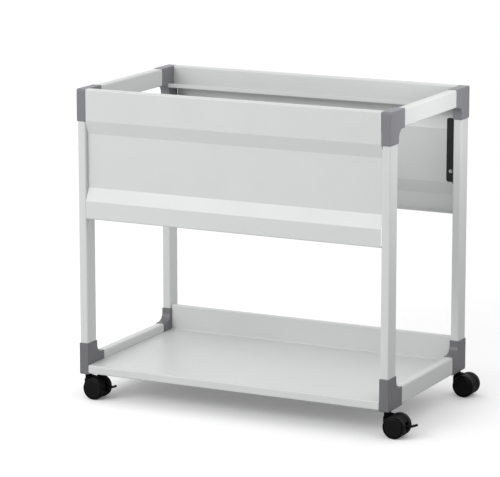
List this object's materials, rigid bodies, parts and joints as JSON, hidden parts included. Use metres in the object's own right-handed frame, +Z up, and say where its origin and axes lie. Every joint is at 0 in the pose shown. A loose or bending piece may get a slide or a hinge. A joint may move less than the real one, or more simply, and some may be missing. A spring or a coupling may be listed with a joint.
{
  "type": "mobile file cart",
  "caption": "Open mobile file cart of sheet steel and rectangular tube, with rails for suspension files between two panels, a lower shelf and swivelling twin-wheel castors.",
  "frame": {"origin": "middle of the footprint on the floor, under the castors' wheels", "axes": "+X along the panels to the right, +Y from the front panel to the rear panel, +Z up"},
  "size_m": [0.815, 0.4366, 0.702],
  "materials": {
    "paint": "satin light grey powder coat",
    "connector": "matte mid grey moulding",
    "black_plastic": "black moulding with a low gloss",
    "black_coat": "satin black coat on the brackets",
    "zinc": "bright zinc plate"
  },
  "bodies": {
    "frame": {"shelf": "paint", "front_panel": "paint", "front_hanging_rail": "paint", "rear_panel": "paint", "rear_hanging_rail": "paint", "left_end_rail": "paint", "left_side_rail": "paint", "right_end_rail": "paint", "right_side_rail": "paint", "front_left_post": "paint", "front_left_top_corner": "connector", "front_left_bottom_corner": "connector", "front_left_panel_bracket": "black_coat", "front_left_bracket_screw": "zinc", "front_left_panel_nut": "zinc", "front_left_shelf_screw": "zinc", "front_right_post": "paint", "front_right_top_corner": "connector", "front_right_bottom_corner": "connector", "front_right_panel_bracket": "black_coat", "front_right_bracket_screw": "zinc", "front_right_panel_nut": "zinc", "front_right_shelf_screw": "zinc", "rear_left_post": "paint", "rear_left_top_corner": "connector", "rear_left_bottom_corner": "connector", "rear_left_panel_bracket": "black_coat", "rear_left_bracket_screw": "zinc", "rear_left_panel_nut": "zinc", "rear_left_shelf_screw": "zinc", "rear_right_post": "paint", "rear_right_top_corner": "connector", "rear_right_bottom_corner": "connector", "rear_right_panel_bracket": "black_coat", "rear_right_bracket_screw": "zinc", "rear_right_panel_nut": "zinc", "rear_right_shelf_screw": "zinc"},
    "front_left_castor": {"front_left_castor_stem": "zinc", "front_left_castor_hood": "black_plastic", "front_left_castor_axle": "zinc"},
    "front_left_front_wheel": {"front_left_castor_front_wheel": "black_plastic"},
    "front_left_rear_wheel": {"front_left_castor_rear_wheel": "black_plastic"},
    "front_left_brake": {"front_left_brake_lever": "black_plastic"},
    "front_right_castor": {"front_right_castor_stem": "zinc", "front_right_castor_hood": "black_plastic", "front_right_castor_axle": "zinc"},
    "front_right_front_wheel": {"front_right_castor_front_wheel": "black_plastic"},
    "front_right_rear_wheel": {"front_right_castor_rear_wheel": "black_plastic"},
    "front_right_brake": {"front_right_brake_lever": "black_plastic"},
    "rear_left_castor": {"rear_left_castor_stem": "zinc", "rear_left_castor_hood": "black_plastic", "rear_left_castor_axle": "zinc"},
    "rear_left_front_wheel": {"rear_left_castor_front_wheel": "black_plastic"},
    "rear_left_rear_wheel": {"rear_left_castor_rear_wheel": "black_plastic"},
    "rear_right_castor": {"rear_right_castor_stem": "zinc", "rear_right_castor_hood": "black_plastic", "rear_right_castor_axle": "zinc"},
    "rear_right_front_wheel": {"rear_right_castor_front_wheel": "black_plastic"},
    "rear_right_rear_wheel": {"rear_right_castor_rear_wheel": "black_plastic"}
  },
  "joints": [
    {"name": "front_left_swivel", "type": "hinge", "parent": "frame", "child": "front_left_castor", "pos_m": [-0.39624, -0.19475, 0.056], "axis": [0, 0, 1], "continuous": true},
    {"name": "front_left_front_wheel_spin", "type": "hinge", "parent": "front_left_castor", "child": "front_left_front_wheel", "pos_m": [-0.37374, -0.2108, 0.025], "axis": [0, 1, 0], "continuous": true},
    {"name": "front_left_rear_wheel_spin", "type": "hinge", "parent": "front_left_castor", "child": "front_left_rear_wheel", "pos_m": [-0.37374, -0.1787, 0.025], "axis": [0, 1, 0], "continuous": true},
    {"name": "front_left_brake_press", "type": "hinge", "parent": "front_left_castor", "child": "front_left_brake", "pos_m": [-0.35974, -0.19475, 0.031], "axis": [0, 1, 0], "range_deg": [0, 18]},
    {"name": "front_right_swivel", "type": "hinge", "parent": "frame", "child": "front_right_castor", "pos_m": [0.33626, -0.19475, 0.056], "axis": [0, 0, 1], "continuous": true},
    {"name": "front_right_front_wheel_spin", "type": "hinge", "parent": "front_right_castor", "child": "front_right_front_wheel", "pos_m": [0.35876, -0.2108, 0.025], "axis": [0, 1, 0], "continuous": true},
    {"name": "front_right_rear_wheel_spin", "type": "hinge", "parent": "front_right_castor", "child": "front_right_rear_wheel", "pos_m": [0.35876, -0.1787, 0.025], "axis": [0, 1, 0], "continuous": true},
    {"name": "front_right_brake_press", "type": "hinge", "parent": "front_right_castor", "child": "front_right_brake", "pos_m": [0.37276, -0.19475, 0.031], "axis": [0, 1, 0], "range_deg": [0, 18]},
    {"name": "rear_left_swivel", "type": "hinge", "parent": "frame", "child": "rear_left_castor", "pos_m": [-0.39624, 0.19475, 0.056], "axis": [0, 0, 1], "continuous": true},
    {"name": "rear_left_front_wheel_spin", "type": "hinge", "parent": "rear_left_castor", "child": "rear_left_front_wheel", "pos_m": [-0.37374, 0.1787, 0.025], "axis": [0, 1, 0], "continuous": true},
    {"name": "rear_left_rear_wheel_spin", "type": "hinge", "parent": "rear_left_castor", "child": "rear_left_rear_wheel", "pos_m": [-0.37374, 0.2108, 0.025], "axis": [0, 1, 0], "continuous": true},
    {"name": "rear_right_swivel", "type": "hinge", "parent": "frame", "child": "rear_right_castor", "pos_m": [0.33626, 0.19475, 0.056], "axis": [0, 0, 1], "continuous": true},
    {"name": "rear_right_front_wheel_spin", "type": "hinge", "parent": "rear_right_castor", "child": "rear_right_front_wheel", "pos_m": [0.35876, 0.1787, 0.025], "axis": [0, 1, 0], "continuous": true},
    {"name": "rear_right_rear_wheel_spin", "type": "hinge", "parent": "rear_right_castor", "child": "rear_right_rear_wheel", "pos_m": [0.35876, 0.2108, 0.025], "axis": [0, 1, 0], "continuous": true}
  ]
}
